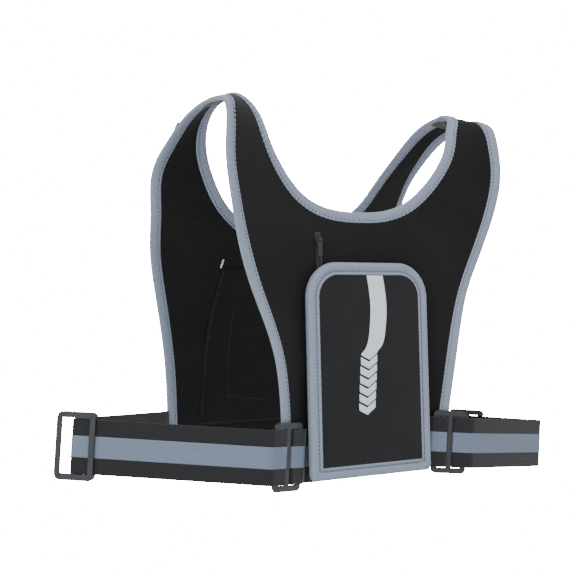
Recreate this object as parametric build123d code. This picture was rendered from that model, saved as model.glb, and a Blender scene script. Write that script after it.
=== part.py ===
from build123d import *
import os
from math import atan2, cos, degrees, hypot, pi, sin

# Reflective vest with a fold-down phone pocket, drawn as it hangs on a wearer's torso.
# Millimetres. X is the wearer's left-right, the pocket faces -Y, Z is up.
# The origin is on the mid-plane, midway between the two hems, level with the pocket's lower edge.

# Overall sizes
vest_height = 358.0         # pocket's lower edge to the shoulder crest
torso_depth = 222.0         # front hem to back hem
chest_half_width = 160.5    # widest half width, below the shoulders
hem_half_width = 93.0       # half width at both hems
neck_half_width = 126.0     # neck edge at the shoulder crest
front_neck_height = 252.5   # lowest point of the front neck edge
back_neck_height = 232.0    # lowest point of the back neck edge
front_hem_height = 4.8
back_hem_height = -15.0

# Fabric
panel_thickness = 3.0
tape_thickness = 0.8        # binding tape, one layer
tape_width = 10.5

# Pocket
pocket_width = 141.0
pocket_height = 204.0
pocket_corner = 34.0
pocket_tape_width = 12.0
pocket_depth = 9.6          # back skin to the front of the binding
pocket_rim = 8.0            # thickness of the binding
pocket_skin = 1.1
pocket_lean = 3.6           # degrees, the top leans towards the chest
pocket_back_y = -129.4      # its back face at the hinge
hinge_y = -113.0
hinge_z = 3.6
hinge_tape_thickness = 1.0
pocket_mouth = 30.0         # the back skin stops this far below the pocket's top
window_margin = 20.0
window_thickness = 0.4
pocket_gap = 0.35           # pocket to the pieces behind it
stripe_width = 19.0
reflective_thickness = 0.25
chevron_pitch = 8.7
chevron_thickness = 7.0
chevron_count = 6
patch_width = 62.0
patch_height = 9.0
patch_thickness = 2.0         # loop side

# Webbing and its hardware
webbing_width = 50.0
webbing_thickness = 1.4
webbing_stripe = 20.0
webbing_clearance = 0.4
bar_width = 5.5
bar_thickness = 2.4
slot_width = 10.2
slider_corner = 5.0
ring_x = 95.5
ring_standoff = 5.8         # front face of the vest to the middle of the ring
ring_lean = 16.5            # degrees about the upright, outer side forward
left_fold = (-256.0, -25.0)     # far end of the left belt loop
right_fold = (243.0, -113.0)    # far end of the right belt loop
right_adjuster_run = 76.0       # right fold to its adjuster
left_tilt = (-0.0735, -0.0425)  # rise of the belt's mid line along X and along Y
right_tilt = (-0.093, -0.050)
belt_height = 25.5          # mid line of the webbing at the rings
sewn_run = 32.0             # webbing lying on the back panel

# Key pocket zip
zip_top = (-51.0, 232.0)
zip_bottom = (-47.0, 122.0)
zip_slot = 5.0
zip_tape_width = 22.0
zip_tape_thickness = 0.6
coil_width = 3.6
coil_thickness = 1.4
key_pocket_width = 84.0
key_pocket_layer = 0.5      # one layer of mesh
key_pocket_gap = 4.2        # room for the zip tapes

# Inside of the back
inner_pocket_width = 120.0
inner_pocket_height = 176.0
inner_pocket_base = 22.0
inner_pocket_thickness = 1.2
inner_pocket_gap = 0.6

# Small pieces
cable_loop_place = (-148.0, 0.545)  # X, and share of the way from front hem to back hem
cable_loop_length = 17.0
cable_loop_rise = 7.0
cable_loop_width = 8.0
elastic_thickness = 1.2
shoulder_tape_width = 16.0
shoulder_tape_thickness = 0.8

# Side profile of the middle of the cloth: share of depth, share of height, and how far the cloth
# moves along Y and Z for each (100 mm from the mid-plane) squared.
front_profile = [
    (0.000, -0.034, -17.0, 0.0),
    (0.000, 0.140, -18.0, 0.0),
    (0.000, 0.320, -17.0, 0.0),
    (0.000, 0.489, -7.0, 0.0),
    (0.010, 0.620, -8.0, 0.0),
    (0.050, 0.732, -13.0, 0.0),
    (0.068, 0.838, -14.0, 0.0),
    (0.113, 0.927, -17.0, 0.0),
]
crest_profile = [(0.311, 1.047, -24.6, -10.2)]
back_profile = [
    (0.409, 1.013, -12.3, -8.6),
    (0.432, 0.927, 2.7, -5.5),
    (0.482, 0.804, 11.0, 0.0),
    (0.541, 0.723, 11.0, 0.0),
    (0.689, 0.612, 8.0, 0.0),
    (0.815, 0.489, 6.0, 0.0),
    (0.928, 0.335, 3.0, 0.0),
    (0.968, 0.196, 3.0, 0.0),
    (0.991, 0.056, 3.0, 0.0),
    (1.000, -0.075, 3.0, 0.0),
]

# Edges in the front view, as shares of the half width and of the height between hem or neck and crest
side_shares = [(0.0, 0.0), (0.08, 0.15), (0.21, 0.32), (0.44, 0.46), (0.72, 0.60), (0.93, 0.74), (1.0, 0.83)]
front_neck_shares = [(0.29, 0.03), (0.48, 0.12), (0.64, 0.28), (0.75, 0.445), (0.84, 0.65), (0.905, 0.86), (0.97, 0.98)]
back_neck_shares = [(0.32, 0.05), (0.52, 0.15), (0.68, 0.285), (0.80, 0.46), (0.90, 0.64), (0.97, 0.82), (1.0, 0.97)]

crest_y = 0.171 * torso_depth - torso_depth / 2
sheet_half_width = chest_half_width + 12.0
above = vest_height + 60.0
far = 400.0

os.makedirs("parts", exist_ok=True)


def save(name, *shapes):
    """One STEP file for one node."""
    solids = [s for shape in shapes for s in shape.solids()]
    export_step(Compound(label=name, children=solids) if len(solids) > 1 else solids[0], f"parts/{name}.step")


# The cloth's middle surface

def side_curve(x):
    """The cloth's section in the upright plane at x, from the front hem over the crest to the back hem."""
    q = (x / 100.0) ** 2
    stations = front_profile + crest_profile + back_profile
    points = [
        (x, (a - 0.5) * torso_depth + flare_y * q, b * vest_height + flare_z * q)
        for a, b, flare_y, flare_z in stations
    ]
    return Spline(*points)


def on_cloth(x, z, side, lift=0.0):
    """The point of the cloth at x and z on one side, lifted off the middle along the outward normal."""
    curve = side_curve(x)
    low, high = (0.0, 0.45) if side == "front" else (1.0, 0.5)
    for _ in range(40):
        mid = (low + high) / 2
        if (curve @ mid).Z < z:
            low = mid
        else:
            high = mid
    point = curve @ low
    slope = (side_curve(x + 1.0) @ low) - (side_curve(x - 1.0) @ low)
    normal = slope.cross(curve % low).normalized()
    outward = -1.0 if side == "front" else 1.0
    return point + normal * (lift if normal.Y * outward > 0 else -lift)


def cloth(thickness, lift=0.0):
    """The whole cloth as one curved slab of this thickness, lifted outwards off the middle surface."""
    columns = 9
    rows = 48
    sections = []
    middle = ((side_curve(1.0) @ 0.0) - (side_curve(-1.0) @ 0.0)).cross(side_curve(0.0) % 0.0)
    outward = 1.0 if middle.Y < 0 else -1.0
    for i in range(columns):
        x = sheet_half_width * (2.0 * i / (columns - 1) - 1.0)
        before, here, after = side_curve(x - 1.0), side_curve(x), side_curve(x + 1.0)
        faces = ([], [])
        for j in range(rows + 1):
            t = j / rows
            normal = ((after @ t) - (before @ t)).cross(here % t).normalized()
            across = hypot(normal.Y, normal.Z)
            step = Vector(0, normal.Y, normal.Z) * (outward / across ** 2)
            faces[0].append((here @ t) + step * (lift + thickness / 2))
            faces[1].append((here @ t) + step * (lift - thickness / 2))
        outer, inner = Spline(*faces[0]), Spline(*faces[1])
        ends = [Line(outer @ k, inner @ k) for k in (0, 1)]
        sections.append(Wire([outer, ends[1], inner, ends[0]]))
    return Solid.make_loft(sections)


# Outlines in the front view

def side_edge(hem_height):
    """The armhole and side edge on the +X side, from the hem up past the crest."""
    spread = chest_half_width - hem_half_width
    rise = vest_height - hem_height
    points = [(hem_half_width + spread * a, hem_height + rise * b) for a, b in side_shares]
    points += [(chest_half_width - 2.5, 0.93 * vest_height), (chest_half_width - 3.5, above)]
    return Spline(*[(x, z) for x, z in points])


def neck_edge(low):
    """The neck edge from the crest on one side, down round the scoop and up the other side."""
    shares = front_neck_shares if low == front_neck_height else back_neck_shares
    half = [(neck_half_width * a, low + (vest_height - low) * b) for a, b in shares]
    half.append((neck_half_width, above))
    points = [(-x, z) for x, z in reversed(half)] + [(0.0, low)] + half
    return Spline(*points)


def beside(edge, distance, count=36):
    """The curve that runs at this distance to the left of an edge drawn in the front view."""
    points = []
    for i in range(count + 1):
        t = i / count
        along = edge % t
        points.append((edge @ t) + Vector(-along.Y, along.X, 0) * distance)
    return Spline(*points)


def region(*edges):
    """A closed face from open edges, joined in order by straight lines."""
    loop = []
    for i, edge in enumerate(edges):
        loop.append(edge)
        end, start = edge @ 1, edges[(i + 1) % len(edges)] @ 0
        if (start - end).length > 1e-6:
            loop.append(Line(end, start))
    return make_face(Wire(loop).edges()).face()


def through_depth(face, side):
    """A front-view face carried through the front or the back half of the vest."""
    crest = Plane(origin=(0, crest_y, 0), x_dir=(1, 0, 0), z_dir=(0, -1, 0))
    reach = -far if side == "front" else far
    return Solid.extrude(face.moved(crest.location), Vector(0, reach, 0))


def backwards(edge, flip=1.0, count=36):
    """The same edge run from its other end, and mirrored to the -X side where flip is -1."""
    points = [edge @ (1 - i / count) for i in range(count + 1)]
    return Spline(*[Vector(p.X * flip, p.Y, 0) for p in points])


def panel(slab, side):
    """Front or back panel: the cloth inside the tapes on its side, hem and neck edges."""
    hem, low = (front_hem_height, front_neck_height) if side == "front" else (back_hem_height, back_neck_height)
    right = beside(side_edge(hem), tape_width)
    left = backwards(right, -1.0)
    neck = backwards(beside(neck_edge(low), -tape_width))
    above_hem = Box(2 * far, 2 * far, far, align=(Align.CENTER, Align.CENTER, Align.MIN))
    cut = slab.intersect(through_depth(region(right, neck, left), side))[0]
    return solids_of(cut.intersect(Location((0, 0, hem + tape_width)) * above_hem))[0]


def edge_tape(slab, edges, inward):
    """A tape folded over one edge of the front and back panels, with the edge of the cloth inside it."""
    halves = []
    for side, edge in edges.items():
        strip = region(edge, backwards(beside(edge, inward)))
        halves += solids_of(slab.intersect(through_depth(strip, side)))
    return halves[0].fuse(*halves[1:])


def hem_tape(slab, side):
    """The tape along one hem, between the two side tapes."""
    hem = front_hem_height if side == "front" else back_hem_height
    edge = beside(side_edge(hem), tape_width)
    low = edge @ 0
    depth = Align.MAX if side == "front" else Align.MIN
    strip = Box(2 * low.X, far, tape_width, align=(Align.CENTER, depth, Align.MIN))
    return solids_of(slab.intersect(Location((0, crest_y, hem)) * strip))[0]


def solids_of(result):
    if result is None:
        return []
    items = result if isinstance(result, (list, ShapeList)) else [result]
    return [s for item in items for s in item.solids()]


# Webbing loops and their plastic hardware

def belt_frame(side):
    """The tilted plane that a belt's path lies in, with its origin at the ring."""
    x = ring_x * side
    tilt = right_tilt if side > 0 else left_tilt
    origin = on_cloth(x, belt_height, "front", panel_thickness / 2 + ring_standoff)
    origin = Vector(x, origin.Y, belt_height)
    return Plane(origin=origin, x_dir=(1, 0, tilt[0]), z_dir=(-tilt[0], -tilt[1], 1))


def in_frame(frame, x, y):
    """A point given by the row's X and Y, in the belt's own plane."""
    return Vector(x - frame.origin.X, y - frame.origin.Y, 0)


def ring_point(side, along, lift):
    """A point beside the ring: along its width outwards, and lifted forwards off its middle."""
    lean = ring_lean * pi / 180
    return Vector(side * (along * cos(lean) - lift * sin(lean)), -along * sin(lean) - lift * cos(lean), 0)


def unit(vector):
    return vector.normalized()


def left_of(vector):
    return Vector(-vector.Y, vector.X, 0)


wrap_gap = bar_thickness / 2 + webbing_clearance + webbing_thickness / 2
slot_edge = bar_width / 2 + webbing_clearance + webbing_thickness / 2
outer_bar = bar_width + slot_width


def ring_wrap(side):
    """The belt's end, folded round the ring's outer bar and stitched back."""
    out = outer_bar + bar_width / 2
    return [
        ring_point(side, out + 3.0, -wrap_gap),
        ring_point(side, slot_edge, -wrap_gap),
        ring_point(side, slot_edge, wrap_gap),
        ring_point(side, out + 5.5, wrap_gap),
    ]


def back_seat(side, frame):
    """Where the belt meets the back panel: the turn beside its edge, and its sewn end."""
    edge = hem_half_width - 2.0
    end = edge - sewn_run
    lift = panel_thickness / 2 + tape_thickness + webbing_thickness / 2
    outer = on_cloth(edge, belt_height / 2, "back", lift)
    inner = on_cloth(end, belt_height / 2, "back", lift - tape_thickness)
    return in_frame(frame, side * outer.X, outer.Y), in_frame(frame, side * inner.X, inner.Y)


def belt_path(side, frame):
    """The belt's middle line in its own plane, with its corner radii."""
    points = ring_wrap(side)
    turn, end = back_seat(side, frame)
    fold = in_frame(frame, *(right_fold if side > 0 else left_fold))
    run = unit(fold - points[-1])
    inward = left_of(run) * side
    if side < 0:
        points += [fold + run * slot_edge - inward * wrap_gap, fold + run * slot_edge + inward * wrap_gap]
        radii = [1.6, 1.6, 6.0, 1.8, 1.8, 12.0]
    else:
        towards = right_adjuster_axis(frame)
        points += [fold, fold + inward * 8.0, fold + inward * 8.0 + towards * (right_adjuster_run + 28.0)]
        radii = [1.6, 1.6, 12.0, 3.7, 3.7, 20.0, 12.0]
    return points + [turn, end], radii


def right_adjuster_axis(frame):
    """Direction of the right belt's back leg as it leaves the far fold."""
    fold = in_frame(frame, *right_fold)
    aim = in_frame(frame, 0.62 * right_fold[0], right_fold[1] + 52.0)
    return unit(aim - fold)


def ribbon(points, radii, frame, width, thickness, inner=0.0):
    """A webbing ribbon along a path, or only its two skins outside an inner thickness."""
    path = FilletPolyline(*points, radius=radii)
    face = trace(path, line_width=thickness)
    if inner:
        face = face - trace(path, line_width=inner)
    return [frame.location * extrude(f, amount=width / 2, both=True) for f in face.faces()]


def belt(side):
    frame = belt_frame(side)
    points, radii = belt_path(side, frame)
    return ribbon(points, radii, frame, webbing_width, webbing_thickness)


def belt_stripe(side):
    frame = belt_frame(side)
    points, radii = belt_path(side, frame)
    outer = webbing_thickness + 2 * reflective_thickness
    return ribbon(points, radii, frame, webbing_stripe, outer, webbing_thickness)


def tab_path(side, frame):
    """The short tab: from the front panel round the ring's inner bar and back."""
    back = outer_bar + bar_width / 2 + webbing_clearance + webbing_thickness / 2
    lap = webbing_thickness + 0.15
    low, high = [], []
    for x in (ring_x - back - 22.0, ring_x - back - 6.0):
        face = on_cloth(x, belt_height, "front", panel_thickness / 2 + webbing_thickness / 2 + 0.2)
        low.append(in_frame(frame, side * x, face.Y))
        high.append(in_frame(frame, side * x, face.Y - lap))
    loop = [
        ring_point(side, -back + 4.0, -wrap_gap),
        ring_point(side, -slot_edge, -wrap_gap),
        ring_point(side, -slot_edge, wrap_gap),
        ring_point(side, -back, wrap_gap),
    ]
    points = low + loop + [high[1], high[0]]
    return points, [4.0, 2.0, 1.6, 1.6, 1.6, 1.2]


def tab(side):
    frame = belt_frame(side)
    points, radii = tab_path(side, frame)
    return ribbon(points, radii, frame, webbing_width, webbing_thickness)


def bars(thickness, offsets):
    """A moulded frame for the webbing: two end rails and three bars, each at its own height."""
    long = webbing_width + 2 * webbing_clearance + 0.6
    wide = 3 * bar_width + 2 * slot_width
    tall = thickness + max(offsets) - min(offsets)
    plate = Box(wide, tall, long + 2 * bar_width)
    plate = fillet(plate.edges().filter_by(Axis.Y), slider_corner)
    plate -= Box(wide - 2 * bar_width, 2 * tall, long)
    if tall > thickness:
        plate -= Box(2 * wide, 2 * tall, long)
    for k, offset in zip((-1, 0, 1), offsets):
        bar = Box(bar_width, thickness, long + 2.0)
        bar = fillet(bar.edges().filter_by(Axis.Z), thickness * 0.35)
        plate += Location((k * outer_bar, offset, 0)) * bar
    return plate


def ring(side):
    """The front tri-glide, a plain link between the tab and the belt."""
    return belt_frame(side).location * (Location((0, 0, 0), (0, 0, -ring_lean * side)) * bars(bar_thickness, (0, 0, 0)))


def adjuster_place(side):
    """The adjuster's middle and the direction of the webbing through it, in the belt's plane."""
    frame = belt_frame(side)
    if side < 0:
        points, _ = belt_path(side, frame)
        return frame, in_frame(frame, *left_fold), unit(points[4] - points[3])
    axis = right_adjuster_axis(frame)
    fold = in_frame(frame, *right_fold)
    inward = left_of(unit(fold - ring_wrap(side)[-1]))
    return frame, fold + inward * 8.0 + axis * right_adjuster_run, axis


def adjuster(side):
    """The tri-glide on the webbing: its side bars lie outside the webbing, its middle bar inside."""
    frame, middle, run = adjuster_place(side)
    gap = webbing_thickness + 2 * webbing_clearance + bar_thickness
    turn = degrees(atan2(run.Y, run.X))
    if side < 0:
        body = Location((0, 0, 0), (0, 0, turn)) * bars(bar_thickness, (gap, 0, gap))
    else:
        body = Location((0, 0, 0), (0, 0, turn)) * bars(bar_thickness, (-gap / 2, gap / 2, -gap / 2))
    return frame.location * (Location(middle) * body)


# Phone pocket, drawn upright with its back face at y = 0

def pocket_place():
    return Location((0, pocket_back_y, 0), (-pocket_lean, 0, 0))


def pocket_outline(inset):
    """The pocket's outline in the front view: round shoulders, nearly square lower corners."""
    wide, tall = pocket_width - 2 * inset, pocket_height - 2 * inset
    outline = Location((0, pocket_height / 2)) * Rectangle(wide, tall)
    corners = outline.vertices().sort_by(Axis.Y)
    outline = fillet(corners[2:], pocket_corner - inset)
    return fillet(outline.vertices().sort_by(Axis.Y)[:2], max(6.0 - inset, 1.0))


def pocket_slab(outline, back, thickness):
    """A flat outline of the pocket made solid, its back face this far in front of the pocket's back."""
    upright = Plane(origin=(0, -back, 0), x_dir=(1, 0, 0), z_dir=(0, -1, 0))
    return pocket_place() * extrude(upright * outline, amount=thickness)


def pocket_binding():
    """The thick rim of folded tape, rounded where it faces forwards."""
    upright = Plane(origin=(0, pocket_rim - pocket_depth, 0), x_dir=(1, 0, 0), z_dir=(0, -1, 0))
    rim = extrude(upright * (pocket_outline(0) - pocket_outline(pocket_tape_width)), amount=pocket_rim)
    front = rim.faces().sort_by(Axis.Y)[0]
    return pocket_place() * fillet(front.edges(), 2.5)


def pocket_front():
    return pocket_slab(pocket_outline(pocket_tape_width), pocket_depth - 0.6 - pocket_skin, pocket_skin)


def pocket_back_outline():
    """The back skin stops short of the top, where the phone goes in."""
    top = pocket_height - pocket_tape_width - pocket_mouth
    outline = pocket_outline(pocket_tape_width / 2)
    return outline - Location((0, top + far / 2)) * Rectangle(far, far)


def window_outline(grow):
    side = pocket_width - 2 * (pocket_tape_width + window_margin - grow)
    low = pocket_tape_width + window_margin - grow
    high = pocket_height - pocket_tape_width - pocket_mouth - window_margin + grow
    return Location((0, (low + high) / 2)) * RectangleRounded(side, high - low, 6.0 + grow)


def pocket_back():
    behind = pocket_depth - pocket_rim - pocket_skin
    return pocket_slab(pocket_back_outline() - window_outline(0), behind, pocket_skin)


def pocket_window():
    """Clear film laid on the inside of the back skin."""
    return pocket_slab(window_outline(5.0), pocket_depth - pocket_rim, window_thickness)


def reflective_strip():
    """The S-shaped stripe, whose lower end is cut to the shape of the chevrons below it."""
    half = stripe_width / 2
    x, z = -4.2, 102.0 + chevron_pitch
    middle = Spline((6.0, 191.5), (9.0, 162.0), (7.0, 138.0), (0.5, 120.0), (x + 0.6, z + 5.7))
    left = Spline(*[(middle @ t) - Vector(half, 1.1 * t, 0) for t in (0, 0.3, 0.6, 0.8, 1)])
    right = Spline(*[(middle @ t) + Vector(half, 1.1 * t, 0) for t in (1, 0.8, 0.6, 0.3, 0)])
    tip = Vector(x, z, 0)
    face = make_face([left, Line(left @ 1, tip), Line(tip, right @ 0), right, Line(right @ 1, left @ 0)])
    return pocket_slab(face, pocket_depth - 0.6, reflective_thickness)


def chevrons():
    """A column of chevrons, each pointing down."""
    half = stripe_width / 2
    marks = []
    for k in range(chevron_count):
        x, z = -4.2 - 0.6 * k, 102.0 - chevron_pitch * k
        tip = (x, z)
        points = [tip, (x + half, z + 6.8), (x + half, z + 6.8 + chevron_thickness)]
        points += [(x, z + chevron_thickness), (x - half, z + 4.6 + chevron_thickness), (x - half, z + 4.6)]
        mark = make_face(Polyline(*points, close=True))
        marks.append(pocket_slab(mark, pocket_depth - 0.6, reflective_thickness))
    return marks


def hinge_tape():
    """The strip that joins the pocket's lower edge to the hem, and that the pocket folds on."""
    reach = hinge_y - pocket_back_y + pocket_depth - pocket_rim
    strip = Box(0.6 * pocket_width, reach, hinge_tape_thickness, align=(Align.CENTER, Align.MAX, Align.MAX))
    return Location((0, hinge_y, hinge_z)) * strip


def patches():
    """Loop patch on the chest and hook patch on the back of the pocket's top edge."""
    z = pocket_height - pocket_tape_width / 2
    lean = pocket_lean * pi / 180
    high = z * cos(lean)
    chest = on_cloth(0, high, "front", panel_thickness / 2)
    back = pocket_back_y + z * sin(lean)
    rim = pocket_depth - pocket_rim
    hook_thickness = chest.Y - back - patch_thickness - pocket_gap - 0.35 + rim
    loop = Box(patch_width, patch_thickness, patch_height)
    loop = Location((0, chest.Y - patch_thickness / 2 - 0.2, high)) * loop
    hook = Box(patch_width, hook_thickness, patch_height)
    return loop, pocket_place() * (Location((0, hook_thickness / 2 - rim, z)) * hook)


# Key pocket zip

def zip_frame():
    """Origin at the zip's top end, level with the highest cloth along it, and Z up along the zip."""
    top = on_cloth(*zip_top, "front", panel_thickness / 2)
    low = on_cloth(*zip_bottom, "front", panel_thickness / 2)
    up = (top - low).normalized()
    middle = (top + low) / 2
    normal = on_cloth(middle.X, middle.Z, "front", 1.0) - on_cloth(middle.X, middle.Z, "front")
    across = normal.cross(up).normalized()
    out = up.cross(across)
    rise = 0.0
    for k in range(1, 12):
        for x in (-zip_slot / 2, zip_slot / 2):
            chord = low + (top - low) * (k / 12)
            face = on_cloth(chord.X + x, chord.Z, "front", panel_thickness / 2)
            rise = max(rise, (face - chord - across * x).dot(out))
    return Plane(origin=top + out * rise, x_dir=across, z_dir=up), (top - low).length, rise


def zip_pieces():
    frame, length, rise = zip_frame()
    place = frame.location
    side = 1.0 if frame.y_dir.Y < 0 else -1.0
    sunk = side * (-0.5 - coil_thickness / 2)
    coil = Location((0, sunk, -length / 2)) * Box(coil_width, coil_thickness, length - 6.0)
    behind = panel_thickness + rise + zip_tape_thickness / 2 + 0.3
    tapes = []
    for k in (-1, 1):
        strip = Box(zip_tape_width / 2 - 0.2, zip_tape_thickness, length + 6.0)
        tapes.append(place * (Location((k * zip_tape_width / 4, -side * behind, -length / 2)) * strip))
    stops = []
    for z in (-1.2, 1.2 - length):
        stop = Box(coil_width + 0.8, coil_thickness + 0.2, 2.4)
        stops.append(place * (Location((0, sunk, z)) * stop))
    return place * coil, tapes, stops


def zip_slider():
    """The slider's top plate over the coil, its neck into the slot and the bridge that carries the pull."""
    frame, _, _ = zip_frame()
    side = 1.0 if frame.y_dir.Y < 0 else -1.0
    plate = Location((0, side * 0.75, 0)) * Box(8.0, 0.8, 9.0)
    plate = fillet(plate.edges().filter_by(Axis.Y), 2.0)
    neck = Location((0, side * 0.15, 0)) * Box(2.6, 0.6, 7.0)
    bridge = Location((0, side * 1.75, 2.0)) * Box(2.0, 1.3, 3.6)
    hole = Location((0, side * 1.75, 2.0)) * (Rotation(0, 90, 0) * Cylinder(0.42, 4.0))
    return frame.location * (Location((0, 0, -9.0)) * (plate + neck + bridge - hole))


def zip_pull():
    """A flat pull on a cross pin through the bridge."""
    frame, _, _ = zip_frame()
    side = 1.0 if frame.y_dir.Y < 0 else -1.0
    pin = Rotation(0, 90, 0) * Cylinder(0.36, 4.4)
    tab = Location((0, 0, -9.4)) * Box(5.6, 0.8, 14.0)
    tab = fillet(tab.edges().filter_by(Axis.Y), 2.0)
    body = tab + pin
    for k in (-1, 1):
        body += Location((k * 1.8, 0, -1.6)) * Box(0.8, 0.8, 3.2)
    return frame.location * (Location((0, side * 1.75, -7.0)) * body)


def pouch(side, width, base, height, gap, thickness, middle, open_top):
    """A flat pouch sewn to the inside of one panel along its edges."""
    outer = cloth(gap + thickness, -(panel_thickness + gap + thickness) / 2)
    inner = cloth(gap, -(panel_thickness + gap) / 2)
    depth = Align.MAX if side == "front" else Align.MIN
    window = Location((middle, crest_y, base)) * Box(width, far, height, align=(Align.CENTER, depth, Align.MIN))
    hem = 3.0
    tall = height if open_top else height - 2 * hem
    room = Box(width - 2 * hem, far, tall, align=(Align.CENTER, depth, Align.MIN))
    hollow = solids_of(inner.intersect(Location((middle, crest_y, base + hem)) * room))[0]
    return solids_of(solids_of(outer.intersect(window))[0].cut(hollow))


def shoulder_tape(side):
    """The tape over the shoulder seam, on the inside."""
    low, high = neck_half_width + 2.0, chest_half_width - 5.5
    slab = cloth(shoulder_tape_thickness, -(panel_thickness + shoulder_tape_thickness) / 2 - tape_thickness - 0.1)
    box = Box(high - low, shoulder_tape_width, far)
    place = Location((side * (low + high) / 2, crest_y, vest_height))
    return max(solids_of(slab.intersect(place * box)), key=lambda s: s.center().Z)


def cable_loop():
    """A small elastic loop for an earphone cable, and its two bartacks."""
    x, share = cable_loop_place
    curve = side_curve(x)
    along = curve % share
    normal = Vector(0, -along.Z, along.Y).normalized()
    normal = normal if normal.Z > 0 else -normal
    base = (curve @ share) + normal * (panel_thickness / 2 + tape_thickness + 0.3)
    half, rise = cable_loop_length / 2, cable_loop_rise
    points = [(-half - 3, 0.6), (-half, 0.6), (-half * 0.7, rise)]
    points += [(-x, z) for x, z in reversed(points)]
    path = FilletPolyline(*points, radius=1.6)
    face = trace(path, line_width=elastic_thickness)
    frame = Plane(origin=base, x_dir=along, z_dir=along.cross(normal))
    loop = frame.location * extrude(face, amount=cable_loop_width / 2, both=True)
    tack = Box(1.6, 0.5, cable_loop_width - 1.5)
    level = 0.6 + elastic_thickness / 2 + 0.25
    return loop, [frame.location * (Location((k * (half + 1.9), level, 0)) * tack) for k in (-1, 1)]


def build():
    plain, bound = cloth(panel_thickness), cloth(panel_thickness + 2 * tape_thickness)
    frame, length, _ = zip_frame()
    slot = frame.location * (Location((0, 0, -length / 2)) * Box(zip_slot, 14.0, length + 1.0))
    save("front_panel", panel(plain, "front").cut(slot))
    save("back_panel", panel(plain, "back"))
    neck = {"front": neck_edge(front_neck_height), "back": neck_edge(back_neck_height)}
    sides = {"front": side_edge(front_hem_height), "back": side_edge(back_hem_height)}
    save("neck_binding", edge_tape(bound, neck, -tape_width))
    right = edge_tape(bound, sides, tape_width)
    save("right_armhole_binding", right)
    save("left_armhole_binding", right.mirror(Plane.YZ))
    save("front_hem_binding", hem_tape(bound, "front"))
    save("back_hem_binding", hem_tape(bound, "back"))
    save("pocket_binding", pocket_binding())
    save("pocket_front", pocket_front())
    save("pocket_back", pocket_back())
    save("pocket_window", pocket_window())
    save("reflective_stripe", reflective_strip())
    save("reflective_chevrons", *chevrons())
    save("pocket_hinge_tape", hinge_tape())
    loop_patch, hook_patch = patches()
    save("loop_patch", loop_patch)
    save("hook_patch", hook_patch)
    coil, tapes, stops = zip_pieces()
    save("zip_coil", coil)
    save("zip_tapes", *tapes)
    save("zip_stops", *stops)
    save("zip_slider", zip_slider())
    save("zip_pull", zip_pull())
    middle = (zip_top[0] + zip_bottom[0]) / 2
    tall = zip_top[1] - zip_bottom[1]
    low = zip_bottom[1] - 6
    bag = pouch("front", key_pocket_width, low, tall + 10, key_pocket_gap, key_pocket_layer, middle + 8, False)
    save("key_pocket_bag", *bag)
    wide, low, tall = inner_pocket_width, inner_pocket_base, inner_pocket_height
    inner = pouch("back", wide, low, tall, inner_pocket_gap, inner_pocket_thickness, 0, True)
    save("inner_back_pocket", *inner)
    elastic, tacks = cable_loop()
    save("cable_loop", elastic)
    save("cable_loop_tacks", *tacks)
    for name, side in (("left", -1), ("right", 1)):
        save(f"{name}_shoulder_tape", shoulder_tape(side))
        save(f"{name}_front_tab", *tab(side))
        save(f"{name}_front_ring", ring(side))
        save(f"{name}_belt", *belt(side))
        save(f"{name}_belt_stripe", *belt_stripe(side))
        save(f"{name}_adjuster", adjuster(side))


build()
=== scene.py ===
import math
import bmesh
import bpy
import numpy as np
from mathutils import Matrix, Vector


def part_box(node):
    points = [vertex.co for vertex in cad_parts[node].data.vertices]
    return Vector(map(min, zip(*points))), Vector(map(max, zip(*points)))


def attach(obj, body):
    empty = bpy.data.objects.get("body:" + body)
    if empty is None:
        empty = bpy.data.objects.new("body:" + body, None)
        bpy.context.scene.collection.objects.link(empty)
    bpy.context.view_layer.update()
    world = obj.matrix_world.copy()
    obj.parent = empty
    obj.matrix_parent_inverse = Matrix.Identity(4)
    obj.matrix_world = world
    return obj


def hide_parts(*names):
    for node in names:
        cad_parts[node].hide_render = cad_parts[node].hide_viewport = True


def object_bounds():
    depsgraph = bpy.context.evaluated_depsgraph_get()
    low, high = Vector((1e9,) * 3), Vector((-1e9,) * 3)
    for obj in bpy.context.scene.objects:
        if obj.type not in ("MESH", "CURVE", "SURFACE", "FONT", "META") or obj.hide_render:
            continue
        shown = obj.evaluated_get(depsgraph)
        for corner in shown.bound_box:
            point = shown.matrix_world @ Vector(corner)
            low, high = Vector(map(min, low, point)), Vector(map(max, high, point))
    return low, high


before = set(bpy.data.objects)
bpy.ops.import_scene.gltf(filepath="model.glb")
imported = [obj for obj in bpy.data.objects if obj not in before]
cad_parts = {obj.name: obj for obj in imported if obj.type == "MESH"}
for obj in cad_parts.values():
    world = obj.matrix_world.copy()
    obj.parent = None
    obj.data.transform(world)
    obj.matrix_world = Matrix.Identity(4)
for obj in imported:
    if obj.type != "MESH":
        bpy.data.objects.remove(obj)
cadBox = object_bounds()
mm = 0.001

# ---- camera, light and floor: metres, degrees; the floor is a pale backdrop some way below the vest
view = {"place": (-0.62592, -0.98041, 0.19353), "yaw": -32.0, "pitch": 0.8, "roll": 0.6, "lens": 68.75}
light = {
    "key": 24.0, "top": 14.0, "rim": 8.0, "world": 0.68, "backdrop": 40.0,
    "floor": "#f7f7f7", "floorGlow": 40.0, "floorDrop": 0.06,
}

# ---- the vest, millimetres, the same sizes as the solids
vest = {
    "height": 358.0, "depth": 222.0, "chest": 160.5, "hem": 93.0, "neck": 126.0,
    "frontNeck": 252.5, "backNeck": 232.0, "frontHem": 4.8, "backHem": -15.0,
    "cloth": 3.0, "tape": 0.8, "tapeWidth": 10.5,
}
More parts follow.
